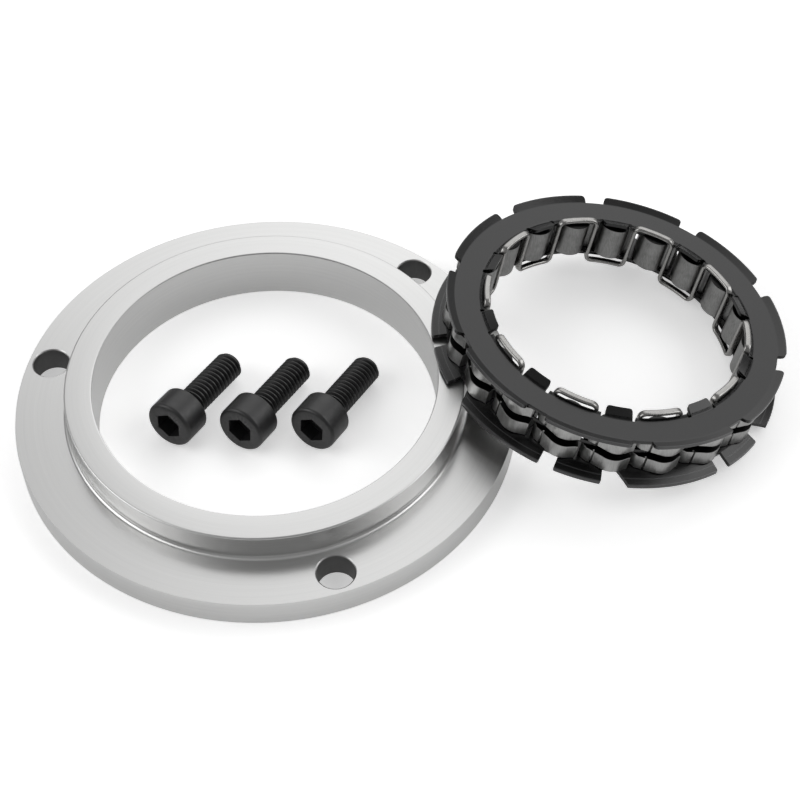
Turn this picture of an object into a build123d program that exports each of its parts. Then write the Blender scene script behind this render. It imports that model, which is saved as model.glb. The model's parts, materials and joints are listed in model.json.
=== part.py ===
"""Sprag clutch kit: outer race, sprag unit and three socket-head screws, in millimetres.

The kit is laid out as sold.  The outer race lies flat with its bore on +Z, the sprag unit
leans on the race's collar with its own tilted axis, and the screws lie inside the bore.
The sprag unit's pieces are drawn upright about Z and then leaned together; so is each screw.
"""
import os
from math import asin, atan2, cos, degrees, radians, sin, tan

from build123d import *

# Outer race: a flange with a collar round the bore
bore_r, race_h = 34.05, 11.6
collar_wall, flange_w, flange_t = 5.45, 10.5, 5.75
collar_r = bore_r + collar_wall
flange_r = collar_r + flange_w
bolt_count, bolt_hole_r, first_bolt_angle, bolt_offset = 3, 3.6, 49.0, 0.4
bolt_circle_r = (collar_r + flange_r) / 2 + bolt_offset
race_chamfer, rim_chamfer_h, rim_chamfer_w = 0.35, 1.0, 0.2

# Sprags fill the space between the bore and the inner race.  The shares give a sprag's
# width as part of the pitch, its inner cam's radius as part of that width, and its crown's
# radius and the cam's offset as parts of the space.
sprags, sprag_phase = 20, -5.0
sprag_pitch = 360 / sprags
sprag_space, bore_gap = 8.2, 0.05
sprag_out_r, sprag_in_r = bore_r - bore_gap, bore_r - sprag_space
pivot_r = (sprag_out_r + sprag_in_r) / 2
width_share, cam_share, crown_share, offset_share = 0.66, 0.5947, 0.44, 0.05
sprag_w = width_share * radians(sprag_pitch) * pivot_r
inner_cam_r, crown_r = cam_share * sprag_w, crown_share * sprag_space
cam_offset, crown_shift, crown_slope = offset_share * sprag_space, 0.2, 32.0
toe_proud, toe_deep = 0.65, 1.5
heel_proud, heel_lift, heel_gap, heel_drop = 1.8, 0.95, 0.75, 3.4
axial_play = 0.1

# End plates: pressed sheet with bent tabs
race_margin, sheet = 2.1, 0.8
cage_h = race_h - race_margin
cam_proud, lip_inset = 1.0, 1.6
plate_in_r, plate_out_r = sprag_in_r + lip_inset, sprag_out_r - cam_proud
tab_bend, tab_corner, tab_lap = 18.0, 0.7, 0.3
top_tabs, top_tab_angle, top_tab_phase, top_tab_len = 10, 29.0, 3.0, 1.75
low_tabs, low_tab_len = 6, 3.0
long_tab_angle, long_tab_phase, long_tab_slant = 35.0, 46.0, 2.2
short_tab_angle, short_tab_phase = 15.0, 16.0
inner_tabs, inner_tab_angle, inner_tab_len, inner_tab_bend = 10, 11.0, 2.5, 25.0
relief_w, relief_deep = 0.7, 0.75
relief_in_r = plate_in_r + relief_deep
heel_in_r, heel_knee_r = plate_in_r + heel_lift, sprag_out_r - heel_drop

# Garter band, which runs in a groove across the sprags' backs
groove_lift, groove_w, groove_deep = 0.45, 1.85, 4.0
groove_mid, groove_floor_r = cage_h / 2 + groove_lift, sprag_out_r - groove_deep
band_gap, band_t, band_w = 1.4, 0.35, 0.8
band_r = groove_floor_r + band_gap + band_t

# Ribbon spring: one strip that crosses over one sprag and under the next
ribbon_t, ribbon_bend = 0.8, 0.8
ribbon_gap, ribbon_inset = 0.15, 0.1
ribbon_in_r, ribbon_out_r = sprag_in_r + ribbon_inset, plate_in_r - ribbon_gap

# Pose of the sprag unit.  Its low rim stands on the ground at one side and leans on the
# collar's edge at the two places where the two circles cross, seen from above.
low_rim_r = plate_out_r + low_tab_len * cos(radians(tab_bend))
low_rim_drop = low_tab_len * sin(radians(tab_bend))
unit_direction, unit_overlap, ground_gap = 9.3, 6.04, 0.05
unit_distance = collar_r + low_rim_r - unit_overlap
crossing = (unit_distance ** 2 + low_rim_r ** 2 - collar_r ** 2) / (2 * unit_distance)
lean = degrees(asin(race_h / (low_rim_r + crossing)))
cage_centre = (
    unit_distance * cos(radians(unit_direction)),
    unit_distance * sin(radians(unit_direction)),
    low_rim_r * sin(radians(lean)) + low_rim_drop * cos(radians(lean)) + ground_gap,
)

# Socket-head screws, M6 x 16, lying in a row inside the bore, on head and tip
screws, screw_r, screw_len = 3, 3.0, 16.0
head_r, head_h = 5.0, 6.0
hex_across, hex_deep = 5.0, 3.0
screw_heading, screw_gap, row_x, row_y, first_screw_step = 60.0, 4.1, -1.95, -4.1, 1.2
cut_slack = 1.0

lean_axis = (-sin(radians(unit_direction)), cos(radians(unit_direction)), 0)
lean_pose = Location(cage_centre, lean_axis, lean)


def save(builder, name, pose=Location()):
    """Put a finished part where it lies and write its STEP file."""
    placed = pose * builder.part
    placed.label = name
    export_step(placed, f"parts/{name}.step")


def rims(builder, radius, height):
    """Circular edges of one radius at one height."""
    return builder.edges().filter_by(GeomType.CIRCLE).filter_by(
        lambda e: abs(e.radius - radius) < 0.01 and abs(e.center().Z - height) < 0.01)


def reach(shape):
    """Distance of a shape's centre from the Z axis."""
    return (shape.center().X ** 2 + shape.center().Y ** 2) ** 0.5


def ring_sector(in_r, out_r, width):
    """A piece of a ring, centred on the X axis."""
    with BuildSketch() as piece:
        with BuildLine():
            inner = CenterArc((0, 0), in_r, -width / 2, width)
            outer = CenterArc((0, 0), out_r, -width / 2, width)
            Line(inner @ 0, outer @ 0)
            Line(inner @ 1, outer @ 1)
        make_face()
    return piece.sketch


def bent_tab(root_r, root_z, length, rise_angle, width, slant=0):
    """A tab of sheet, centred on the X axis, that turns out of a plate's plane at root_r.

    A negative length points inwards and a negative rise_angle bends down.  root_z is the
    plate's lower face.  slant is how far the clockwise side has moved in by the tip.
    """
    run, rise = length * cos(radians(rise_angle)), abs(length) * sin(radians(rise_angle))
    lap = -tab_lap if length > 0 else tab_lap
    start = Plane.XZ.rotated((0, 0, -width / 2))
    with BuildPart() as tab:
        with BuildSketch(start):
            with BuildLine():
                Polyline((root_r + lap, root_z), (root_r, root_z), (root_r + run, root_z + rise),
                         (root_r + run, root_z + rise + sheet), (root_r, root_z + sheet),
                         (root_r + lap, root_z + sheet), close=True)
            make_face()
        revolve(axis=Axis.Z, revolution_arc=width)
        if length > 0:
            corners = tab.edges().filter_by(GeomType.LINE).filter_by(
                lambda e: abs(reach(e) - root_r - run) < 0.01).sort_by(Axis.Y)
            if slant:
                tip = tab.faces().filter_by(GeomType.CYLINDER).sort_by(reach)[-1]
                chamfer(corners[0], slant, run - tab_corner, reference=tip)
                chamfer(corners[1], tab_corner)
            else:
                chamfer(corners, tab_corner)
    return tab.part


def make_outer_race():
    with BuildPart() as race:
        with BuildSketch():
            Circle(flange_r)
        extrude(amount=flange_t)
        with BuildSketch(Plane.XY.offset(flange_t)):
            Circle(collar_r)
        extrude(amount=race_h - flange_t)
        with BuildSketch():
            Circle(bore_r)
            with PolarLocations(bolt_circle_r, bolt_count, start_angle=first_bolt_angle):
                Circle(bolt_hole_r)
        extrude(amount=race_h, mode=Mode.SUBTRACT)
        chamfer(rims(race, collar_r, race_h) + rims(race, bore_r, race_h), race_chamfer)
        flange_side = race.faces().filter_by(GeomType.CYLINDER).filter_by(
            lambda f: abs(f.radius - flange_r) < 0.01)[0]
        chamfer(rims(race, flange_r, flange_t), rim_chamfer_h, rim_chamfer_w, reference=flange_side)
    save(race, "outer_race")


def make_top_plate():
    underside = cage_h - sheet
    relief = degrees(2 * relief_w / plate_in_r)
    inner_phase = sprag_phase + sprag_pitch
    outer_tab = bent_tab(plate_out_r, underside, top_tab_len, tab_bend, top_tab_angle)
    inner_tab = bent_tab(relief_in_r, underside, -inner_tab_len, inner_tab_bend, inner_tab_angle)
    notch = ring_sector(plate_in_r - cut_slack, relief_in_r, inner_tab_angle + relief)
    with BuildPart() as plate:
        with BuildSketch(Plane.XY.offset(underside)):
            Circle(plate_out_r)
            Circle(plate_in_r, mode=Mode.SUBTRACT)
            with PolarLocations(0, inner_tabs, start_angle=inner_phase):
                add(notch, mode=Mode.SUBTRACT)
        extrude(amount=sheet)
        with PolarLocations(0, inner_tabs, start_angle=inner_phase):
            add(inner_tab)
        with PolarLocations(0, top_tabs, start_angle=top_tab_phase):
            add(outer_tab)
    save(plate, "top_plate", lean_pose)


def make_bottom_plate():
    long_tab = bent_tab(plate_out_r, 0, low_tab_len, -tab_bend, long_tab_angle, long_tab_slant)
    short_tab = bent_tab(plate_out_r, 0, low_tab_len, -tab_bend, short_tab_angle)
    with BuildPart() as plate:
        with BuildSketch():
            Circle(plate_out_r)
            Circle(plate_in_r, mode=Mode.SUBTRACT)
        extrude(amount=sheet)
        with PolarLocations(0, low_tabs, start_angle=long_tab_phase):
            add(long_tab)
        with PolarLocations(0, low_tabs, start_angle=short_tab_phase):
            add(short_tab)
    save(plate, "bottom_plate", lean_pose)


def ribbon_leg(low, high, run):
    """The strip's way down from the bar on the clockwise side to the one on the other side.

    low and high are the heights of the strip's centre line, run is its length either side.
    """
    with BuildPart() as leg:
        with BuildSketch(Plane.YZ.offset(ribbon_in_r)):
            with BuildLine():
                Polyline((-run, high), (-ribbon_bend, high), (0, high - ribbon_bend),
                         (0, low + ribbon_bend), (ribbon_bend, low), (run, low))
            trace(line_width=ribbon_t)
        extrude(amount=ribbon_out_r - ribbon_in_r)
    return leg.part


def ribbon_bar(height, run):
    """The straight bar across a sprag, between the ends of the legs on both sides of it."""
    turn = radians(sprag_pitch / 2)
    in_x, in_y = ribbon_in_r * cos(turn) + run * sin(turn), ribbon_in_r * sin(turn) - run * cos(turn)
    out_x, out_y = ribbon_out_r * cos(turn) + run * sin(turn), ribbon_out_r * sin(turn) - run * cos(turn)
    with BuildPart() as bar:
        with BuildSketch(Plane.XY.offset(height - ribbon_t / 2)):
            with BuildLine():
                Polyline((in_x, -in_y), (out_x, -out_y), (out_x, out_y), (in_x, in_y), close=True)
            make_face()
        extrude(amount=ribbon_t)
    return bar.part


def make_ribbon_spring():
    """A strip folded over one plate and under the other in turn, sprag by sprag."""
    low, high = -ribbon_gap - ribbon_t / 2, cage_h + ribbon_gap + ribbon_t / 2
    run = ribbon_bend + ribbon_t
    leg_down = ribbon_leg(low, high, run)
    leg_up = mirror(leg_down, about=Plane.XZ)
    pairs = sprags // 2
    with BuildPart() as ribbon:
        with PolarLocations(0, pairs, start_angle=sprag_phase):
            add(ribbon_bar(high, run))
        with PolarLocations(0, pairs, start_angle=sprag_phase + sprag_pitch / 2):
            add(leg_down)
        with PolarLocations(0, pairs, start_angle=sprag_phase + sprag_pitch):
            add(ribbon_bar(low, run))
        with PolarLocations(0, pairs, start_angle=sprag_phase + sprag_pitch * 3 / 2):
            add(leg_up)
    save(ribbon, "ribbon_spring", lean_pose)


def make_garter_band():
    with BuildPart() as band:
        with BuildSketch(Plane.XY.offset(groove_mid - band_w / 2)):
            Circle(band_r)
            Circle(band_r - band_t, mode=Mode.SUBTRACT)
        extrude(amount=band_w)
    save(band, "garter_band", lean_pose)


def sprag_outline():
    """Cross-section of a sprag on the X axis: crown, toe, flanks, inner cam and heel.

    The heel closes the gap up to the neighbouring sprag, whose flank its side runs along.
    """
    half, turn = sprag_w / 2, radians(sprag_pitch)
    toe_y, heel_y = half + toe_proud, -half - heel_proud
    cam_start = 180 - degrees(asin((half + cam_offset) / inner_cam_r))
    cam_end = 180 + degrees(asin((half - cam_offset) / inner_cam_r))

    def heel_side(x):
        return (half + heel_gap) / cos(turn) - x * tan(turn)

    with BuildSketch() as outline:
        with BuildLine():
            crown = CenterArc((sprag_out_r - crown_r, crown_shift), crown_r, -crown_slope,
                              2 * crown_slope)
            cam = CenterArc((sprag_in_r + inner_cam_r, -cam_offset), inner_cam_r, cam_start,
                            cam_end - cam_start)
            start, end = crown @ 0, crown @ 1
            toe_x = end.X - (toe_y - end.Y) * tan(radians(crown_slope))
            heel_x = start.X - (start.Y - heel_y) * tan(radians(crown_slope))
            Polyline(end, (toe_x, toe_y), (toe_x - toe_deep, half), cam @ 0)
            Polyline(cam @ 1, (heel_in_r, -half), (heel_in_r, heel_side(heel_in_r)),
                     (heel_knee_r, heel_side(heel_knee_r)), (heel_x, heel_y), start)
        make_face()
    return outline.sketch


def make_sprag(index):
    """One sprag, upright between the plates, with the band's groove cut across its back."""
    outline = sprag_outline()
    floor, top = sheet + axial_play, cage_h - sheet - axial_play
    with BuildPart() as sprag:
        with BuildSketch(Plane.XY.offset(floor)):
            with PolarLocations(0, 1, start_angle=sprag_phase + index * sprag_pitch):
                add(outline)
        extrude(amount=top - floor)
        with BuildSketch(Plane.XY.offset(groove_mid - groove_w / 2)):
            with PolarLocations(groove_floor_r, 1, start_angle=sprag_phase + index * sprag_pitch):
                Rectangle(groove_deep + cut_slack, 3 * sprag_w, align=(Align.MIN, Align.CENTER))
        extrude(amount=groove_w, mode=Mode.SUBTRACT)
    save(sprag, f"sprag_{index + 1:02d}", lean_pose)


def make_screw(index):
    """One screw, drawn with its shank down from z = 0 and then laid on head and tip."""
    with BuildPart() as screw:
        with BuildSketch():
            Circle(head_r)
        extrude(amount=head_h)
        with BuildSketch():
            Circle(screw_r)
        extrude(amount=-screw_len)
        with BuildSketch(Plane.XY.offset(head_h - hex_deep)):
            RegularPolygon(hex_across / 2, 6, major_radius=False)
        extrude(amount=hex_deep, mode=Mode.SUBTRACT)
    dip = degrees(atan2(head_r - screw_r, screw_len))
    height = head_r * cos(radians(dip)) + ground_gap
    x = row_x + (index - (screws - 1) / 2) * (2 * head_r + screw_gap)
    y = row_y + (first_screw_step if index == 0 else 0)
    pose = Location((x, y, height)) * Rotation(0, 0, screw_heading) * Rotation(0, -90 + dip, 0)
    save(screw, f"screw_{index + 1}", pose)


os.makedirs("parts", exist_ok=True)
make_outer_race()
make_top_plate()
make_bottom_plate()
make_ribbon_spring()
make_garter_band()
for sprag_index in range(sprags):
    make_sprag(sprag_index)
for screw_index in range(screws):
    make_screw(screw_index)
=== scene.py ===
"""Looks of the sprag clutch kit: outer race, leaning sprag unit and loose screws.

Pieces are drawn in millimetres about their own axis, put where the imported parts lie, and
scaled to metres as they are finished.
"""
import json
from collections import namedtuple
from math import asin, atan2, cos, degrees, hypot, pi, radians, sin, sqrt

import bmesh
import bpy
from bpy.props import FloatProperty, FloatVectorProperty, IntProperty, PointerProperty
from mathutils import Matrix, Vector


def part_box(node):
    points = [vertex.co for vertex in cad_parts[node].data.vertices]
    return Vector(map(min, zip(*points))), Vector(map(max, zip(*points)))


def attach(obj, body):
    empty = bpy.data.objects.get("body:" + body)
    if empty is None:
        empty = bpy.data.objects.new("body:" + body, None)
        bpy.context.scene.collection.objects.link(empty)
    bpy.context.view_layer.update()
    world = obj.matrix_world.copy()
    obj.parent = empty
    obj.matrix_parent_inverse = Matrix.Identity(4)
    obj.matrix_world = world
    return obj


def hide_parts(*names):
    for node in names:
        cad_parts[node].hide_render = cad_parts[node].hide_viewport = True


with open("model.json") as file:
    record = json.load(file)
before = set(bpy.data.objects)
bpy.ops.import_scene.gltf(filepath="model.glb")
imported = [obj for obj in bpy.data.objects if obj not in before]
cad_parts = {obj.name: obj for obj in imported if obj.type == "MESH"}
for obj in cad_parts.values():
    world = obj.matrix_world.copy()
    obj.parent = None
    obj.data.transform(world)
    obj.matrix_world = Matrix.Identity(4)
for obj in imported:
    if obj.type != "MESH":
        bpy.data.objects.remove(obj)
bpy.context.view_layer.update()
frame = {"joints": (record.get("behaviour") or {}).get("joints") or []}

bl_info = {
    "name": "Sprag Clutch Kit",
    "version": (1, 0, 0),
    "blender": (4, 5, 0),
    "location": "View3D > Sidebar > Sprag Clutch",
    "description": "Builds the finished pieces of a sprag clutch kit over its packed parts",
    "category": "Add Mesh",
}

MM = 0.001
HOLES = 3

# Sizes that several pieces of the sprag unit share, in millimetres and degrees
SPRAGS, SPRAG_PHASE = 20, -5.0
PITCH = 360 / SPRAGS
SPRAG_IN, SPRAG_OUT, SPRAG_W = 25.85, 34.0, 6.2
PIVOT = (SPRAG_IN + SPRAG_OUT) / 2
CAGE_H, SHEET, PLAY = 9.5, 0.8, 0.1
PLATE_IN, PLATE_OUT, TAB_ROOT_IN = 27.45, 33.0, 28.2
GROOVE_FLOOR, GROOVE_MID, GROOVE_W = 30.0, 5.2, 1.85
CUT_SLACK = 1.0


def unit_pose():
    """Pose of the leaning sprag unit, found from the hinges that its sprags rock on."""
    hinges = [joint for joint in frame["joints"] if joint["type"] == "hinge"]
    centre = sum((Vector(hinge["pos_m"]) for hinge in hinges), Vector()) / len(hinges) / MM
    turn = Vector((0, 0, 1)).rotation_difference(Vector(hinges[0]["axis"]))
    return (Matrix.Translation(centre) @ turn.to_matrix().to_4x4()
            @ Matrix.Translation((0, 0, -CAGE_H / 2)))


LEAN_POSE = unit_pose()


def size(name, default, about):
    """A length in millimetres that the user can change."""
    return FloatProperty(name=name, default=default, description=about, soft_min=0.01)


def colour(name, default, about):
    """A colour that the user can change."""
    return FloatVectorProperty(name=name, default=default, description=about, size=3,
                               subtype="COLOR", min=0, max=1)


# Settings ---------------------------------------------------------------------------------

class RaceSettings(bpy.types.PropertyGroup):
    flange_r: size("Flange radius", 50.0, "Outer radius of the flange, in mm")
    flange_t: size("Flange thickness", 5.75, "Height of the flange, in mm")
    collar_r: size("Collar radius", 39.5, "Outer radius of the collar, in mm")
    race_h: size("Race height", 11.6, "Height of the collar's top above the back face, in mm")
    bore_r: size("Bore radius", 34.05, "Radius of the wall that the sprags grip, in mm")
    foot_r: size("Foot fillet", 0.9, "Fillet between flange and collar, in mm")
    hole_circle_r: size("Hole circle", 45.15, "Radius of the circle of bolt holes, in mm")
    hole_r: size("Hole radius", 3.6, "Radius of a bolt hole, in mm")
    hole_angle: FloatProperty(name="First hole", default=radians(49.0), subtype="ANGLE",
                              description="Direction of the first bolt hole")
    tint: colour("Steel", (0.69, 0.69, 0.685), "Colour of the turned steel")


class PlateSettings(bpy.types.PropertyGroup):
    top_len: size("Top tab length", 1.75, "Length of a top outer tab past its bend, in mm")
    low_len: size("Bottom tab length", 3.0, "Length of a bottom tab past its bend, in mm")
    inner_len: size("Inner tab length", 2.5, "Length of an inner tab past its bend, in mm")
    corner_r: size("Tab corners", 0.9, "Radius of the corners of the top tabs, in mm")
    bend: FloatProperty(name="Outer bend", default=radians(18), subtype="ANGLE",
                        description="Angle that the outer tabs are bent by")
    inner_bend: FloatProperty(name="Inner bend", default=radians(25), subtype="ANGLE",
                              description="Angle that the inner tabs are bent by")
    edge_r: size("Edge rounding", 0.16, "Rounding that pressing leaves on the edges, in mm")
    tint: colour("Black oxide", (0.012, 0.012, 0.0123), "Colour of the blackened sheet")


class SpragSettings(bpy.types.PropertyGroup):
    crown_r: size("Crown radius", 3.6, "Radius of the cam that meets the outer race, in mm")
    cam_r: size("Inner cam radius", 3.69, "Radius of the cam that meets the shaft's race, in mm")
    offset: size("Cam offset", 0.41,
                 "How far the inner cam's centre is off the sprag's line, in mm")
    edge_r: size("Edge rounding", 0.14, "Rounding of a sprag's edges, in mm")
    tint: colour("Sprag steel", (0.35, 0.35, 0.345), "Colour of the ground sprags")


class SpringSettings(bpy.types.PropertyGroup):
    thick: size("Strip thickness", 0.8, "Thickness of the ribbon's strip, in mm")
    inner_r: size("Ribbon inner radius", 25.95, "Inner radius of the ribbon, in mm")
    outer_r: size("Ribbon outer radius", 27.3, "Outer radius of the ribbon, in mm")
    top_gap: size("Top gap", 0.42, "Gap between the ribbon's bars and the top plate, in mm")
    low_gap: size("Bottom gap", 0.25, "Gap between the ribbon's bars and the bottom plate, in mm")
    bend_r: size("Bend radius", 1.2, "Radius of the strip's bends at its middle, in mm")
    edge_r: size("Edge rounding", 0.38, "Rounding of the strip's edges, in mm")
    band_r: size("Band radius", 31.75, "Outer radius of the garter band, in mm")
    band_t: size("Band thickness", 0.35, "Thickness of the garter band, in mm")
    band_w: size("Band width", 0.8, "Width of the garter band, in mm")
    tint: colour("Spring steel", (0.38, 0.375, 0.365), "Colour of the bright strip")


class ScrewSettings(bpy.types.PropertyGroup):
    count: IntProperty(name="Screws", default=3, min=1, description="Number of loose screws")
    thread_pitch: size("Thread pitch", 1.0, "Distance between neighbouring threads, in mm")
    thread_depth: size("Thread depth", 0.55, "Depth of the thread, in mm")
    length: size("Length", 16.0, "Length of the shank under the head, in mm")
    shank_r: size("Shank radius", 3.0, "Outer radius of the thread, in mm")
    head_r: size("Head radius", 5.0, "Radius of the head, in mm")
    head_h: size("Head height", 6.0, "Height of the head, in mm")
    hex_across: size("Socket", 5.0, "Width across the flats of the socket, in mm")
    hex_deep: size("Socket depth", 3.0, "Depth of the socket, in mm")
    heading: FloatProperty(name="Heading", default=radians(60), subtype="ANGLE",
                           description="Direction that the lying screws' shanks point in")
    tint: colour("Black screw", (0.011, 0.011, 0.0115), "Colour of the blackened screws")


class StageSettings(bpy.types.PropertyGroup):
    lens: FloatProperty(name="Lens", default=73.1, description="Focal length of the camera, in mm")
    floor: colour("Floor", (0.8, 0.8, 0.8), "Colour of the floor")


# Materials --------------------------------------------------------------------------------

class Wire:
    """An output of a shader node.  Arithmetic on wires lays the Math nodes for it."""

    def __init__(self, tree, socket):
        self.tree, self.socket = tree, socket

    def into(self, kind, pin=0, out=0, setup=None, **others):
        """Lead this wire into a new node and return one of the node's outputs."""
        node = self.tree.nodes.new(kind)
        for key, value in (setup or {}).items():
            setattr(node, key, value)
        plug(self.tree, node.inputs[pin], self)
        for key, value in others.items():
            plug(self.tree, node.inputs[key.replace("_", " ")], value)
        return Wire(self.tree, node.outputs[out])

    def math(self, operation, *terms):
        node = self.tree.nodes.new("ShaderNodeMath")
        node.operation = operation
        for pin, term in zip(node.inputs, (self, *terms)):
            plug(self.tree, pin, term)
        return Wire(self.tree, node.outputs[0])

    def __add__(self, other):
        return self.math("ADD", other)

    def __sub__(self, other):
        return self.math("SUBTRACT", other)

    def __mul__(self, other):
        return self.math("MULTIPLY", other)

    __radd__, __rmul__ = __add__, __mul__

    def split(self):
        """The three numbers of a vector, as wires."""
        node = self.into("ShaderNodeSeparateXYZ", "Vector").socket.node
        return [Wire(self.tree, out) for out in node.outputs]

    def times_value(self, factor):
        """This colour with its brightness multiplied."""
        return self.into("ShaderNodeHueSaturation", "Color", Value=factor)

    def noise(self, scale, detail=3.0, rough=0.5):
        """Even noise from 0 to 1 over these coordinates."""
        return self.into("ShaderNodeTexNoise", "Vector", Scale=scale, Detail=detail,
                         Roughness=rough)

    def ramp(self, low, high, at_low=0.0, at_high=1.0):
        """Spread the stretch from low to high over at_low to at_high."""
        return self.into("ShaderNodeMapRange", "Value", From_Min=low, From_Max=high,
                         To_Min=at_low, To_Max=at_high)

    def tint(self, dark, light):
        """Mix two colours by this wire."""
        node = self.tree.nodes.new("ShaderNodeMix")
        node.data_type = "RGBA"
        plug(self.tree, node.inputs[0], self)
        node.inputs[6].default_value = (*dark, 1)
        node.inputs[7].default_value = (*light, 1)
        return Wire(self.tree, node.outputs[2])


def plug(tree, pin, value):
    """Put a wire or a plain value on a socket."""
    if isinstance(value, Wire):
        tree.links.new(value.socket, pin)
    else:
        pin.default_value = value


def coordinates(tree, turn=None, stretch=(1, 1, 1)):
    """Object coordinates in millimetres, turned upright for a leaned piece."""
    source = Wire(tree, tree.nodes.new("ShaderNodeTexCoord").outputs["Object"])
    mapping = source.into("ShaderNodeMapping", "Vector", setup={"vector_type": "POINT"})
    node = mapping.socket.node
    node.inputs["Scale"].default_value = [s / MM for s in stretch]
    if turn is not None:
        upright = turn.inverted()
        node.inputs["Rotation"].default_value = upright.to_euler()
        node.inputs["Location"].default_value = upright.to_translation()
    return mapping


def new_material(name, metallic, roughness, **constants):
    """A Principled material with its plain numbers set; returns material, tree and shader."""
    material = bpy.data.materials.new(name)
    material.use_nodes = True
    tree = material.node_tree
    shader = tree.nodes["Principled BSDF"]
    shader.inputs["Metallic"].default_value = metallic
    shader.inputs["Roughness"].default_value = roughness
    for key, value in constants.items():
        shader.inputs[key.replace("_", " ")].default_value = value
    return material, tree, shader


def shades(tint, low, high):
    """A darker and a lighter version of a colour."""
    return [c * low for c in tint], [min(1, c * high) for c in tint]


def distance(a, b):
    """Length of the vector with the sides a and b."""
    return (a * a + b * b).math("SQRT")


def turned_steel(s):
    """Steel off the lathe: fine rings and slow streaks, and painted shade darkening the walls of
    the holes.
    """
    material, tree, shader = new_material("turned steel", 1.0, 0.3, Anisotropic=0.55)
    place = coordinates(tree)
    x, y, z = place.split()
    radius, angle = distance(x, y), y.math("ARCTAN2", x)
    turned = (radius + z * 1.3).into("ShaderNodeCombineXYZ", "X")
    rings, broad = turned.noise(9.0, 4.0, 0.7), turned.noise(1.3, 2.0)
    pitch = 2 * pi / HOLES
    off_hole = (angle + (pitch / 2 - s.hole_angle)).math("FLOORED_MODULO", pitch) - pitch / 2
    from_hole = distance(radius * off_hole.math("SINE"),
                         radius * off_hole.math("COSINE") - s.hole_circle_r)
    # Mask of the bolt holes' walls: painted shade in the colour there, and a rougher finish
    shaded_hole_wall = from_hole.ramp(s.hole_r + 0.02, s.hole_r + 0.22, 1.0, 0.0)
    along = (radius + z).into("ShaderNodeCombineXYZ", "X", Y=angle)
    streak = along.noise(3.0, 3.0)
    speck = place.noise(1.6, 6.0, 0.75).ramp(0.68, 0.74)
    mix = rings * 0.5 + broad * 0.3 + streak * 0.2
    steel = (mix - speck * 0.12).ramp(0.25, 0.75).tint(*shades(s.tint, 0.9, 1.06))
    # Painted shade: the colour on the hole walls is dimmed to 30 %
    plug(tree, shader.inputs["Base Color"], steel.times_value(shaded_hole_wall * -0.7 + 1.0))
    plug(tree, shader.inputs["Roughness"],
         (rings * 0.8 + streak * 0.2).ramp(0.3, 0.7, 0.27, 0.36) + shaded_hole_wall * 0.2)
    plug(tree, shader.inputs["Normal"],
         (rings + speck * 0.3).into("ShaderNodeBump", "Height", Strength=0.05, Distance=0.00002))
    return material


def black_oxide(s):
    """Blackened pressed sheet: satin, with painted shade darkening the tabs, and painted
    highlights on the tabs' rims and across the middle of the bottom tabs.
    """
    material, tree, shader = new_material("black oxide sheet", 0.0, 0.22, Specular_IOR_Level=0.52)
    place = coordinates(tree)
    x, y, z = coordinates(tree, LEAN_POSE).split()
    radius = distance(x, y)
    # Mask of the bent tabs, for painted shade: their colour is dimmed to 35 %
    tabs = radius.ramp(PLATE_OUT, PLATE_OUT + 0.3).math(
        "MAXIMUM", radius.ramp(TAB_ROOT_IN - 0.5, TAB_ROOT_IN, 1.0, 0.0))
    bottom = z.ramp(CAGE_H / 2 - 0.5, CAGE_H / 2 + 0.5, 1.0, 0.0)
    top_rim, low_rim = [PLATE_OUT + run * cos(s.bend) for run in (s.top_len, s.low_len)]
    # Painted highlight along the tabs' tips
    rim = (radius - (bottom * (low_rim - top_rim) + top_rim)).ramp(-0.28, -0.12)
    # Painted highlight: a light line across the middle of each bottom tab, standing in for its
    # bend catching the light
    mark = bottom * (radius - (PLATE_OUT + s.low_len / 2)).math("ABSOLUTE").ramp(
        0.06, 0.16, 1.0, 0.0)
    rim_and_line_highlight = rim + mark * 0.7
    grain, cloud = place.noise(14.0, 4.0, 0.65), place.noise(0.22, 3.0)
    oxide = (grain * 0.5 + cloud * 0.5).ramp(0.3, 0.7).tint(*shades(s.tint, 0.8, 1.25))
    # Painted light in the colour: painted shade on the tabs, painted highlights on their rims and
    # on the bottom tabs' line
    plug(tree, shader.inputs["Base Color"],
         oxide.times_value(tabs * -0.65 + rim_and_line_highlight * grain * 9.0 + 1.0))
    plug(tree, shader.inputs["Roughness"], (grain * 0.4 + cloud * 0.6).ramp(0.3, 0.7, 0.19, 0.27))
    plug(tree, shader.inputs["Normal"],
         grain.into("ShaderNodeBump", "Height", Strength=0.12, Distance=0.00002))
    return material


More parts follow.
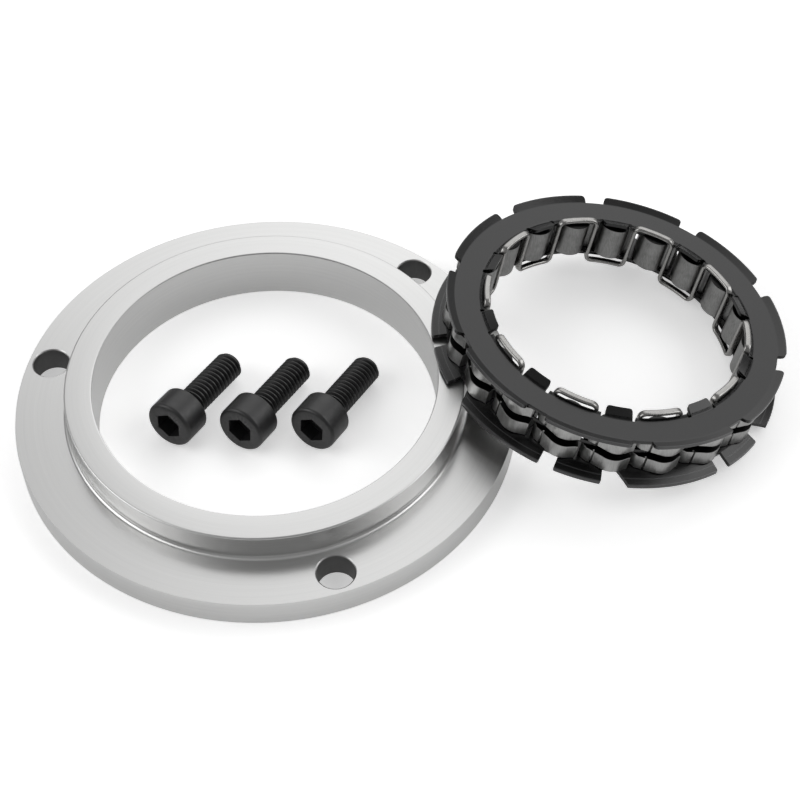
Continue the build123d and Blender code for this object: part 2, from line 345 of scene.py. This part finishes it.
def ground_steel(tint):
    """Hard sprag steel, ground along its length, with a painted highlight on the crowns and
    painted shade on the ends and in the groove.
    """
    material, tree, shader = new_material("ground sprag steel", 1.0, 0.32)
    x, y, z = coordinates(tree, LEAN_POSE).split()
    radius = distance(x, y)
    # Painted highlight: the colour lightens outwards over the crowns
    crown = radius.ramp(30.5, 32.5)
    half = CAGE_H / 2 - SHEET - PLAY
    # Painted shade: the end faces under the plates and the groove are darkened to 15 % below
    ends = (z - CAGE_H / 2).math("ABSOLUTE").ramp(half - 0.12, half - 0.04)
    groove_shade = radius.ramp(28.8, 29.2) * (z - GROOVE_MID).math("ABSOLUTE").ramp(
        GROOVE_W / 2 + 0.02, GROOVE_W / 2 + 0.08, 1.0, 0.0)
    grind = coordinates(tree, LEAN_POSE, (1, 1, 0.1)).noise(6.0, 5.0, 0.65)
    cloud = coordinates(tree).noise(0.5, 3.0)
    mix = grind * 0.65 + cloud * 0.35
    steel = (mix.ramp(0.32, 0.68, 0.0, 0.6) + crown * 0.45).tint(*shades(tint, 0.5, 1.4))
    # Painted shade on the ends and in the groove
    plug(tree, shader.inputs["Base Color"],
         steel.times_value(ends.math("MAXIMUM", groove_shade) * -0.85 + 1.0))
    plug(tree, shader.inputs["Roughness"], mix.ramp(0.3, 0.7, 0.26, 0.42))
    plug(tree, shader.inputs["Normal"],
         grind.into("ShaderNodeBump", "Height", Strength=0.3, Distance=0.00002))
    return material


def bright_strip(tint):
    """Drawn spring strip: bright, with faint draw marks."""
    material, tree, shader = new_material("bright spring strip", 1.0, 0.28)
    place = coordinates(tree)
    mark, cloud = place.noise(5.0, 4.0, 0.6), place.noise(0.6, 2.0)
    plug(tree, shader.inputs["Base Color"],
         (mark * 0.5 + cloud * 0.5).ramp(0.3, 0.7).tint(*shades(tint, 0.85, 1.1)))
    plug(tree, shader.inputs["Roughness"], mark.ramp(0.3, 0.7, 0.22, 0.34))
    plug(tree, shader.inputs["Normal"],
         mark.into("ShaderNodeBump", "Height", Strength=0.03, Distance=0.00002))
    return material


def black_screw_steel(tint):
    """Blackened alloy steel with an oily, slightly mottled satin."""
    material, tree, shader = new_material("black screw steel", 0.0, 0.38, Specular_IOR_Level=0.7)
    place = coordinates(tree)
    grain, cloud = place.noise(11.0, 4.0, 0.6), place.noise(0.7, 3.0)
    plug(tree, shader.inputs["Base Color"],
         (grain * 0.5 + cloud * 0.5).ramp(0.3, 0.7).tint(*shades(tint, 0.75, 1.4)))
    plug(tree, shader.inputs["Roughness"], (grain * 0.4 + cloud * 0.6).ramp(0.3, 0.7, 0.34, 0.5))
    plug(tree, shader.inputs["Normal"],
         grain.into("ShaderNodeBump", "Height", Strength=0.2, Distance=0.00003))
    return material


# Mesh helpers -----------------------------------------------------------------------------

def finish_piece(bm, name, body, material, nodes, pose=Matrix()):
    """Place a piece drawn in millimetres, scale it to metres and hand it to its body."""
    bmesh.ops.transform(bm, matrix=Matrix.Scale(MM, 4) @ pose, verts=bm.verts)
    mesh = bpy.data.meshes.new(name)
    bm.to_mesh(mesh)
    bm.free()
    mesh.shade_smooth()
    mesh.set_sharp_from_angle(angle=radians(32))
    mesh.materials.append(material)
    piece = bpy.data.objects.new(name, mesh)
    bpy.context.scene.collection.objects.link(piece)
    piece.modifiers.new("even flats", "WEIGHTED_NORMAL").keep_sharp = True
    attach(piece, body)
    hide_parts(*nodes)
    return piece


def lathe(points, steps=256, corners=()):
    """Spin a closed outline of (radius, height) points about Z.

    corners lists (point number, rounding, segments) for the corners that are eased.
    """
    bm = bmesh.new()
    verts = [bm.verts.new((r, 0, z)) for r, z in points]
    bm.faces.new(verts)
    for number, rounding, segments in corners:
        bmesh.ops.bevel(bm, geom=[verts[number]], affect="VERTICES", offset=rounding,
                        offset_type="OFFSET", segments=segments, profile=0.5, material=-1)
    bmesh.ops.delete(bm, geom=bm.faces[:], context="FACES_ONLY")
    bmesh.ops.spin(bm, geom=bm.verts[:] + bm.edges[:], cent=(0, 0, 0), axis=(0, 0, 1),
                   angle=2 * pi, steps=steps, use_merge=True)
    bmesh.ops.remove_doubles(bm, verts=bm.verts, dist=0.0005)
    bmesh.ops.recalc_face_normals(bm, faces=bm.faces)
    return bm


def prism(outline, low, high):
    """Extrude the one flat face of an outline from low to high."""
    bmesh.ops.translate(outline, verts=outline.verts, vec=(0, 0, low))
    raised = bmesh.ops.extrude_face_region(outline, geom=outline.faces[:])["geom"]
    bmesh.ops.translate(outline, vec=(0, 0, high - low),
                        verts=[v for v in raised if isinstance(v, bmesh.types.BMVert)])
    bmesh.ops.recalc_face_normals(outline, faces=outline.faces)
    return outline


def cut(bm, cutter):
    """Take one closed mesh out of another."""
    made = []
    for part in (bm, cutter):
        mesh = bpy.data.meshes.new("cutting")
        part.to_mesh(mesh)
        made.append(bpy.data.objects.new("cutting", mesh))
        bpy.context.scene.collection.objects.link(made[-1])
    modifier = made[0].modifiers.new("cut", "BOOLEAN")
    modifier.object, modifier.operation, modifier.solver = made[1], "DIFFERENCE", "EXACT"
    evaluated = made[0].evaluated_get(bpy.context.evaluated_depsgraph_get())
    bm.clear()
    bm.from_mesh(evaluated.to_mesh())
    cutter.free()
    for thing in made:
        mesh = thing.data
        bpy.data.objects.remove(thing)
        bpy.data.meshes.remove(mesh)
    return bm


def crease_edges(bm, angle, test=lambda edge: True):
    """The edges where two faces meet more sharply than an angle in degrees."""
    return [e for e in bm.edges if len(e.link_faces) == 2
            and e.calc_face_angle() > radians(angle) and test(e)]


def ease(bm, edges, width, segments=2):
    """Round edges off by a width."""
    bmesh.ops.bevel(bm, geom=edges, affect="EDGES", offset=width, offset_type="OFFSET",
                    segments=segments, profile=0.5, material=-1, clamp_overlap=True)


# Outer race -------------------------------------------------------------------------------

class RACE_OT_build(bpy.types.Operator):
    """Turn the outer race and drill its bolt holes"""
    bl_idname = "sprag_clutch.build_race"
    bl_label = "Outer race"

    def execute(self, context):
        s = context.scene.clutch_race
        rim_h, rim_w = 1.0, 0.2
        points = [(s.bore_r, 0), (s.flange_r, 0), (s.flange_r, s.flange_t - rim_h),
                  (s.flange_r - rim_w, s.flange_t), (s.collar_r, s.flange_t),
                  (s.collar_r, s.race_h), (s.bore_r, s.race_h)]
        bm = lathe(points, 288, corners=[(0, 0.35, 2), (1, 0.15, 2), (4, s.foot_r, 6),
                                         (5, 0.35, 3), (6, 0.35, 2)])
        ease_w = 0.25
        mouth_r, top = s.hole_r + ease_w, s.flange_t
        for i in range(HOLES):
            angle = s.hole_angle + i * 2 * pi / HOLES
            centre = Matrix.Translation((s.hole_circle_r * cos(angle),
                                         s.hole_circle_r * sin(angle), 0))
            drill = lathe([(0, -CUT_SLACK), (mouth_r, -CUT_SLACK), (mouth_r, 0),
                           (s.hole_r, ease_w), (s.hole_r, top - ease_w), (mouth_r, top),
                           (mouth_r, top + CUT_SLACK), (0, top + CUT_SLACK)], 64)
            bmesh.ops.transform(drill, matrix=centre, verts=drill.verts)
            cut(bm, drill)
        finish_piece(bm, "turned_outer_race", "outer_race",
                     turned_steel(s), ["outer_race"])
        return {"FINISHED"}


# End plates -------------------------------------------------------------------------------

def polar_sheet(radii, step):
    """A flat ring of quads about Z, with one ring of faces between neighbouring radii."""
    bm = bmesh.new()
    line = [bm.verts.new((r, 0, 0)) for r in radii]
    for a, b in zip(line, line[1:]):
        bm.edges.new((a, b))
    bmesh.ops.spin(bm, geom=bm.verts[:] + bm.edges[:], cent=(0, 0, 0), axis=(0, 0, 1),
                   angle=2 * pi, steps=round(360 / step), use_merge=True)
    bmesh.ops.remove_doubles(bm, verts=bm.verts, dist=0.0005)
    return bm


def polar(co):
    """Radius of a point from Z, and its angle in degrees."""
    return hypot(co.x, co.y), atan2(co.y, co.x) * 180 / pi


def off_centre(angle, phase, pitch):
    """Angle from the nearest of the evenly spaced directions phase + n * pitch."""
    return (angle - phase + pitch / 2) % pitch - pitch / 2


def set_polar(vert, radius, angle, z):
    """Move a point to a radius, an angle in degrees and a height."""
    vert.co = (radius * cos(radians(angle)), radius * sin(radians(angle)), z)


# A row of equal tabs round a plate: direction of the first, angle between them, half the
# width in degrees, radius of the bend, length past it (inwards if negative), bend (down if
# negative), corner radius, and how far the clockwise side has moved in by the tip.
TabRow = namedtuple("TabRow", "phase pitch half root length bend corner slant")


def bend_tab(vert, row, radius, offset, angle):
    """Move one point of a flat tab to where it lies once the tab is bent."""
    along = radians(1) * radius
    edge = max(0.0, (row.half - abs(offset)) * along)
    tip = abs(row.length)
    if edge < row.corner:
        tip -= row.corner - sqrt(row.corner ** 2 - (row.corner - edge) ** 2)
    run = min((radius - row.root) / row.length, 1) * tip
    if offset < 0 and row.slant:
        fade = max(0.0, 1 - edge / (2.5 * row.slant))
        angle += row.slant * fade * run / tip / along
    sign = 1 if row.length > 0 else -1
    set_polar(vert, row.root + sign * run * cos(row.bend), angle, run * sin(row.bend))


def press_sheet(bm, rows, edge_r, low):
    """Bend the tabs of a flat ring, thicken the sheet and ease its edges."""
    for vert in bm.verts:
        radius, angle = polar(vert.co)
        for row in rows:
            offset = off_centre(angle, row.phase, row.pitch)
            if (radius - row.root) / row.length > 0.001 and abs(offset) < row.half + 0.01:
                bend_tab(vert, row, radius, offset, angle)
                break
    bmesh.ops.recalc_face_normals(bm, faces=bm.faces)
    if bm.faces[:][0].normal.z < 0:
        bmesh.ops.reverse_faces(bm, faces=bm.faces)
    raised = bmesh.ops.extrude_face_region(bm, geom=bm.faces[:], use_keep_orig=True)["geom"]
    bmesh.ops.translate(bm, vec=(0, 0, SHEET),
                        verts=[v for v in raised if isinstance(v, bmesh.types.BMVert)])
    bmesh.ops.translate(bm, vec=(0, 0, low), verts=bm.verts)
    bmesh.ops.recalc_face_normals(bm, faces=bm.faces)
    ease(bm, crease_edges(bm, 50), edge_r, 3)
    return bm


def trim(bm, keep):
    """Delete the faces whose middle isn't wanted."""
    gone = []
    for face in bm.faces:
        radius, angle = polar(face.calc_center_median())
        if not keep(radius, angle):
            gone.append(face)
    bmesh.ops.delete(bm, geom=gone, context="FACES")


def tab_rings(row):
    """Radii of the rings of faces along a tab, close together at its bend and its tip."""
    return [row.root + row.length * share for share in (0.06, 0.4, 0.7, 0.85, 0.93, 1.0)]


class PLATES_OT_build(bpy.types.Operator):
    """Press the two end plates with their bent tabs"""
    bl_idname = "sprag_clutch.build_plates"
    bl_label = "End plates"

    def execute(self, context):
        s = context.scene.clutch_plates
        black = black_oxide(s)
        outer = TabRow(3, 36, 14.5, PLATE_OUT, s.top_len, s.bend, s.corner_r, 0)
        inner = TabRow(SPRAG_PHASE + PITCH, 36, 5.5, TAB_ROOT_IN, -s.inner_len, s.inner_bend,
                       0.6, 0)
        relief = 1.5    # width of the notch beside an inner tab, in degrees

        def in_top(radius, angle):
            if radius > PLATE_OUT:
                return abs(off_centre(angle, outer.phase, outer.pitch)) < outer.half
            offset = abs(off_centre(angle, inner.phase, inner.pitch))
            if radius < TAB_ROOT_IN:
                return offset < inner.half or (radius > PLATE_IN and offset > inner.half + relief)
            return True

        top = polar_sheet([*reversed(tab_rings(inner)), PLATE_IN, TAB_ROOT_IN, TAB_ROOT_IN + 0.2,
                           PLATE_OUT - 0.2, PLATE_OUT, *tab_rings(outer)], 0.25)
        trim(top, in_top)
        press_sheet(top, [outer, inner], s.edge_r, CAGE_H - SHEET)
        finish_piece(top, "pressed_top_plate", "sprag_cage", black,
                     ["top_plate"], LEAN_POSE)

        long = TabRow(46, 60, 17.5, PLATE_OUT, s.low_len, -s.bend, 0.3, 2.2)
        short = TabRow(16, 60, 7.5, PLATE_OUT, s.low_len, -s.bend, 0.3, 0)
        low = polar_sheet([PLATE_IN, PLATE_IN + 0.3, PLATE_OUT - 0.2, PLATE_OUT, *tab_rings(long)],
                          0.25)
        trim(low, lambda radius, angle: radius < PLATE_OUT or any(
            abs(off_centre(angle, row.phase, row.pitch)) < row.half for row in (long, short)))
        press_sheet(low, [long, short], s.edge_r, 0)
        finish_piece(low, "pressed_bottom_plate", "sprag_cage", black,
                     ["bottom_plate"], LEAN_POSE)
        return {"FINISHED"}


# Sprags -----------------------------------------------------------------------------------

def arc(bm, centre, radius, start, end, steps):
    """A chain of points round a centre, from one angle to another in degrees."""
    first = bm.verts.new((centre[0] + radius * cos(radians(start)),
                          centre[1] + radius * sin(radians(start)), 0))
    bmesh.ops.spin(bm, geom=[first], cent=(*centre, 0), axis=(0, 0, 1),
                   angle=radians(end - start), steps=steps)


# Corners of a sprag's toe and heel, each a radius and a distance off the sprag's line, and the
# slot between heel and crown, as distances off that line
TOE = ((32.72, 3.2), (32.5, 3.75), (31.1, 3.4), (30.9, SPRAG_W / 2))
HEEL = ((28.4, -SPRAG_W / 2), (28.4, -5.1), (30.6, -5.75), (31.85, -4.9), (32.35, -3.9))
HEEL_SLOT, SLOT_FLOOR = (-3.6, -3.3), 32.0


def sprag_section(s):
    """Cross-section of a sprag on the X axis, as one face: crown, toe, cam and heel."""
    bm = bmesh.new()
    half, crown_slope, crown_shift = SPRAG_W / 2, 34, 0.2
    arc(bm, (SPRAG_OUT - s.crown_r, crown_shift), s.crown_r, -crown_slope, crown_slope, 24)
    arc(bm, (SPRAG_IN + s.cam_r, -s.offset), s.cam_r,
        180 - degrees(asin((half + s.offset) / s.cam_r)),
        180 + degrees(asin((half - s.offset) / s.cam_r)), 24)
    for corner in TOE + HEEL:
        bm.verts.new((*corner, 0))
    ring = sorted(bm.verts, key=lambda v: atan2(v.co.y, v.co.x - PIVOT))
    bmesh.ops.delete(bm, geom=bm.edges[:], context="EDGES_FACES")
    bm.faces.new(ring)
    return bm


def block(low, high):
    """A box between two corners, for cutting with."""
    low, high = Vector(low), Vector(high)
    bm = bmesh.new()
    bmesh.ops.create_cube(bm, size=1, matrix=Matrix.Translation((low + high) / 2)
                          @ Matrix.Diagonal((*(high - low), 1)))
    return bm


class SPRAGS_OT_build(bpy.types.Operator):
    """Shape one sprag and set twenty of them round the cage"""
    bl_idname = "sprag_clutch.build_sprags"
    bl_label = "Sprags"

    def execute(self, context):
        s = context.scene.clutch_sprags
        bm = prism(sprag_section(s), SHEET + PLAY, CAGE_H - SHEET - PLAY)
        cut(bm, block((GROOVE_FLOOR, -SPRAG_W, GROOVE_MID - GROOVE_W / 2),
                      (SPRAG_OUT + CUT_SLACK, SPRAG_W, GROOVE_MID + GROOVE_W / 2)))
        cut(bm, block((SLOT_FLOOR, HEEL_SLOT[0], 0),
                      (SPRAG_OUT + CUT_SLACK, HEEL_SLOT[1], CAGE_H)))
        ease(bm, crease_edges(bm, 40), s.edge_r, 2)
        steel = ground_steel(s.tint)
        for i in range(SPRAGS):
            name = f"sprag_{i + 1:02d}"
            turn = Matrix.Rotation(radians(SPRAG_PHASE + i * PITCH), 4, "Z")
            finish_piece(bm.copy(), f"ground_{name}", name, steel, [name],
                         LEAN_POSE @ turn)
        bm.free()
        return {"FINISHED"}


# Springs ----------------------------------------------------------------------------------

class StripBender:
    """Draws the ribbon's side view in the XZ plane, straight by straight and bend by bend."""

    def __init__(self, low, thick, bend_r):
        self.bm, self.bend_r = bmesh.new(), bend_r
        ends = [self.bm.verts.new((0, 0, low + side * thick / 2)) for side in (-1, 1)]
        self.edge = self.bm.edges.new(ends)
        self.here, self.heading = Vector((0, 0, low)), Vector((1, 0, 0))

    def advance(self, length):
        steps = max(1, round(length / 0.9))
        for _ in range(steps):
            made = bmesh.ops.extrude_edge_only(self.bm, edges=[self.edge])["geom"]
            move = self.heading * (length / steps)
            bmesh.ops.translate(self.bm, vec=move,
                                verts=[g for g in made if isinstance(g, bmesh.types.BMVert)])
            self.edge = next(g for g in made if isinstance(g, bmesh.types.BMEdge))
            self.here += move

    def bend(self, up):
        """A quarter turn, up for 1 and down for -1 while the strip runs forward."""
        centre = self.here + Vector((-self.heading.z, 0, self.heading.x)) * up * self.bend_r
        made = bmesh.ops.spin(self.bm, geom=[self.edge, *self.edge.verts], cent=centre,
                              axis=(0, -up, 0), angle=pi / 2, steps=8)["geom_last"]
        self.edge = next(g for g in made if isinstance(g, bmesh.types.BMEdge))
        turn = Matrix.Rotation(-up * pi / 2, 3, "Y")
        self.here = centre + turn @ (self.here - centre)
        self.heading = turn @ self.heading


class SPRINGS_OT_build(bpy.types.Operator):
    """Bend the ribbon spring and roll the garter band"""
    bl_idname = "sprag_clutch.build_springs"
    bl_label = "Springs"

    def execute(self, context):
        s = context.scene.clutch_springs
        finish_piece(ribbon(s), "bent_ribbon_spring", "sprag_cage",
                     bright_strip(s.tint), ["ribbon_spring"], LEAN_POSE)
        low, high = GROOVE_MID - s.band_w / 2, GROOVE_MID + s.band_w / 2
        inner = s.band_r - s.band_t
        band = lathe([(inner, low), (s.band_r, low), (s.band_r, high), (inner, high)], 240)
        ease(band, crease_edges(band, 60), 0.08, 2)
        finish_piece(band, "rolled_garter_band", "sprag_cage",
                     black_oxide(context.scene.clutch_plates), ["garter_band"], LEAN_POSE)
        return {"FINISHED"}


def ribbon(s):
    """The strip bent over one sprag and under the next, drawn flat and then rolled round."""
    middle = (s.inner_r + s.outer_r) / 2
    straight = middle * radians(PITCH) / 2 - s.bend_r
    low, high = -s.low_gap - s.thick / 2, CAGE_H + s.top_gap + s.thick / 2
    strip = StripBender(low, s.thick, s.bend_r)
    for _ in range(SPRAGS // 2):
        for up in (1, -1):
            strip.advance(straight)
            strip.bend(up)
            strip.advance(high - low - 2 * s.bend_r)
            strip.bend(-up)
            strip.advance(straight)
    bm = strip.bm
    raised = bmesh.ops.extrude_face_region(bm, geom=bm.faces[:], use_keep_orig=True)["geom"]
    bmesh.ops.translate(bm, vec=(0, s.outer_r - s.inner_r, 0),
                        verts=[v for v in raised if isinstance(v, bmesh.types.BMVert)])
    for v in bm.verts:
        set_polar(v, s.inner_r + v.co.y, SPRAG_PHASE + PITCH + degrees(v.co.x / middle), v.co.z)
    bmesh.ops.remove_doubles(bm, verts=bm.verts, dist=0.001)
    ends = [f for f in bm.faces if all(len(e.link_faces) > 2 for e in f.edges)]
    bmesh.ops.delete(bm, geom=ends, context="FACES_ONLY")
    bmesh.ops.recalc_face_normals(bm, faces=bm.faces)
    ease(bm, crease_edges(bm, 60), s.edge_r, 4)
    return bm


# Screws -----------------------------------------------------------------------------------

class SCREWS_OT_build(bpy.types.Operator):
    """Cut the threads and sockets of the three screws and lay them on head and tip"""
    bl_idname = "sprag_clutch.build_screws"
    bl_label = "Screws"

    def execute(self, context):
        s = context.scene.clutch_screws
        steel = black_screw_steel(s.tint)
        bm = screw_head(s)
        shank = threaded_shank(s)
        mesh = bpy.data.meshes.new("shank")
        shank.to_mesh(mesh)
        shank.free()
        bm.from_mesh(mesh)
        bpy.data.meshes.remove(mesh)
        dip = atan2(s.head_r - s.shank_r, s.length)
        for i in range(s.count):
            name = f"screw_{i + 1}"
            low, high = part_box(name)
            lying = (Matrix.Rotation(s.heading, 4, "Z")
                     @ Matrix.Rotation(dip - pi / 2, 4, "Y"))
            middle = (Vector(low) + Vector(high)) / 2 / MM
            own_low, own_high = outer_box(s, lying)
            pose = Matrix.Translation(middle - (own_low + own_high) / 2) @ lying
            finish_piece(bm.copy(), f"threaded_{name}", name, steel, [name], pose)
        bm.free()
        return {"FINISHED"}


def outer_box(s, pose):
    """Box round the plain head and shank once they are turned by a pose."""
    low, high = Vector((1, 1, 1)) * 1e3, Vector((-1, -1, -1)) * 1e3
    rim = lathe([(0, 0), (s.head_r, 0), (s.head_r, s.head_h), (0, s.head_h)], 180)
    shank = lathe([(0, -s.length), (s.shank_r, -s.length), (s.shank_r, 0), (0, 0)], 180)
    for plain in (rim, shank):
        for vert in plain.verts:
            turned = pose @ vert.co
            low = Vector(map(min, low, turned))
            high = Vector(map(max, high, turned))
        plain.free()
    return low, high


def screw_head(s):
    """Socket head with a rounded top edge and a hexagon socket."""
    head = lathe([(0, 0), (s.head_r, 0), (s.head_r, s.head_h), (0, s.head_h)], 96,
                 corners=[(1, 0.2, 2), (2, 0.7, 5)])
    hexagon = bmesh.new()
    bmesh.ops.create_circle(hexagon, cap_ends=True, segments=6,
                            radius=s.hex_across / 2 / cos(pi / 6),
                            matrix=Matrix.Rotation(pi / 6, 4, "Z"))
    cut(head, prism(hexagon, s.head_h - s.hex_deep, s.head_h + CUT_SLACK))
    mouth = [e for e in crease_edges(head, 40)
             if all(v.co.z > s.head_h - 0.01 and hypot(v.co.x, v.co.y) < s.hex_across
                    for v in e.verts)]
    ease(head, mouth, 0.5, 3)
    return head


def threaded_shank(s):
    """A helical thread spun pitch by pitch from one tooth's outline, closed at both ends."""
    bm = bmesh.new()
    crest, point_r, steps = s.shank_r - 0.03, s.shank_r - 0.7, 40
    root, sunk = crest - s.thread_depth, 0.3    # the shank ends a little inside the head
    tooth = [(root, 0.0), (root, 0.16), (crest, 0.46), (crest, 0.62), (root, 0.92), (root, 1.0)]
    line = [bm.verts.new((r, 0, (z - 1.5) * s.thread_pitch - s.length)) for r, z in tooth]
    for a, b in zip(line, line[1:]):
        bm.edges.new((a, b))
    turns = round(s.length / s.thread_pitch) + 3
    bmesh.ops.spin(bm, geom=bm.verts[:] + bm.edges[:], cent=(0, 0, 0), axis=(0, 0, 1),
                   dvec=(0, 0, s.thread_pitch / steps), angle=2 * pi * turns, steps=steps * turns)
    bmesh.ops.remove_doubles(bm, verts=bm.verts, dist=0.001)
    for height, keep in ((-s.length, 1), (sunk, -1)):
        bmesh.ops.bisect_plane(bm, geom=bm.verts[:] + bm.edges[:] + bm.faces[:],
                               plane_co=(0, 0, height), plane_no=(0, 0, -keep), clear_outer=True)
    for v in bm.verts:
        limit, radius = point_r + v.co.z + s.length, hypot(v.co.x, v.co.y)
        if radius > limit:
            v.co.xy = v.co.xy * (limit / radius)
    bmesh.ops.remove_doubles(bm, verts=bm.verts, dist=0.001)
    bmesh.ops.holes_fill(bm, edges=[e for e in bm.edges if len(e.link_faces) == 1], sides=0)
    bmesh.ops.recalc_face_normals(bm, faces=bm.faces)
    return bm


# Stage ------------------------------------------------------------------------------------

def area_light(name, place, aim, width, height, power):
    """A rectangular lamp that faces a point."""
    light = bpy.data.lights.new(name, "AREA")
    light.shape, light.size, light.size_y, light.energy = "RECTANGLE", width, height, power
    lamp = bpy.data.objects.new(name, light)
    lamp.location = place
    lamp.rotation_mode = "QUATERNION"
    lamp.rotation_quaternion = (Vector(aim) - Vector(place)).to_track_quat("-Z", "Y")
    bpy.context.scene.collection.objects.link(lamp)


class STAGE_OT_build(bpy.types.Operator):
    """Set the camera, the pale floor and the soft studio light"""
    bl_idname = "sprag_clutch.build_stage"
    bl_label = "Stage"

    def execute(self, context):
        scene, s = context.scene, context.scene.clutch_stage
        camera = bpy.data.objects.new("camera", bpy.data.cameras.new("camera"))
        camera.data.lens = s.lens
        camera.data.clip_start, camera.data.clip_end = 0.01, 10
        place, looks_down, roll = (0.026575, -0.210299, 0.253321), 49.873, -0.247
        camera.matrix_world = (Matrix.Translation(place)
                               @ Matrix.Rotation(radians(90 - looks_down), 4, "X")
                               @ Matrix.Rotation(radians(roll), 4, "Z"))
        scene.collection.objects.link(camera)
        scene.camera = camera

        bm = bmesh.new()
        bmesh.ops.create_circle(bm, cap_ends=True, segments=96, radius=0.6)
        bmesh.ops.translate(bm, verts=bm.verts, vec=(0.03, 0, -0.00005))
        mesh = bpy.data.meshes.new("floor")
        bm.to_mesh(mesh)
        bm.free()
        floor = bpy.data.objects.new("floor", mesh)
        scene.collection.objects.link(floor)
        mesh.materials.append(pale_floor(s.floor))

        middle, width, height, power = (0.03, 0, 0), 0.8, 0.7, 3.4
        area_light("left_soft", (-0.8, -0.15, 0.6), middle, width, height, power)
        area_light("right_soft", (0.85, 0.05, 0.6), middle, width, height, power)
        studio_world(scene)
        scene.view_settings.view_transform = "Standard"
        return {"FINISHED"}


def pale_floor(tint):
    """Pale floor that the camera sees as white but for the object's shadow."""
    material, tree, shader = new_material("pale floor", 0.0, 0.9)
    path = tree.nodes.new("ShaderNodeLightPath")
    seen = (Wire(tree, path.outputs["Is Camera Ray"])
            + Wire(tree, path.outputs["Is Glossy Ray"]) * 0.4)
    plug(tree, shader.inputs["Base Color"], seen.tint(tint, (1, 1, 1)))
    shader.inputs["Emission Color"].default_value = (1, 1, 1, 1)
    plug(tree, shader.inputs["Emission Strength"], seen * 0.42)
    return material


def studio_world(scene):
    """White all round for the camera; for light and gloss, a dim room with a bright back."""
    world = bpy.data.worlds.new("studio")
    scene.world = world
    world.use_nodes = True
    tree = world.node_tree
    background = tree.nodes["Background"]
    direction = Wire(tree, tree.nodes.new("ShaderNodeTexCoord").outputs["Generated"])
    x, y, z = direction.split()
    glow = (x * 0.15 + y * 0.75 + z * 0.64).ramp(0.83, 0.94, 0.25, 1.35)
    camera_ray = Wire(tree, tree.nodes.new("ShaderNodeLightPath").outputs["Is Camera Ray"])
    plug(tree, background.inputs["Color"], glow.math("MAXIMUM", camera_ray))
    background.inputs["Strength"].default_value = 1.0


# Panel and registration -------------------------------------------------------------------

PIECES = (RACE_OT_build, PLATES_OT_build, SPRAGS_OT_build, SPRINGS_OT_build, SCREWS_OT_build,
          STAGE_OT_build)
SETTINGS = {"clutch_race": RaceSettings, "clutch_plates": PlateSettings,
            "clutch_sprags": SpragSettings, "clutch_springs": SpringSettings,
            "clutch_screws": ScrewSettings, "clutch_stage": StageSettings}


class VIEW3D_PT_sprag_clutch(bpy.types.Panel):
    bl_idname = "VIEW3D_PT_sprag_clutch"
    bl_label = "Sprag Clutch"
    bl_space_type = "VIEW_3D"
    bl_region_type = "UI"
    bl_category = "Sprag Clutch"

    def draw(self, context):
        for operator, (group, settings) in zip(PIECES, SETTINGS.items()):
            box = self.layout.box()
            box.operator(operator.bl_idname)
            for key in settings.__annotations__:
                box.prop(getattr(context.scene, group), key)


def register():
    for cls in (*SETTINGS.values(), *PIECES, VIEW3D_PT_sprag_clutch):
        bpy.utils.register_class(cls)
    for name, cls in SETTINGS.items():
        setattr(bpy.types.Scene, name, PointerProperty(type=cls))


def unregister():
    for name in SETTINGS:
        delattr(bpy.types.Scene, name)
    for cls in reversed((*SETTINGS.values(), *PIECES, VIEW3D_PT_sprag_clutch)):
        bpy.utils.unregister_class(cls)


def main():
    register()
    bpy.ops.sprag_clutch.build_race()
    bpy.ops.sprag_clutch.build_plates()
    bpy.ops.sprag_clutch.build_sprags()
    bpy.ops.sprag_clutch.build_springs()
    bpy.ops.sprag_clutch.build_screws()
    bpy.ops.sprag_clutch.build_stage()


if __name__ == "__main__":
    main()
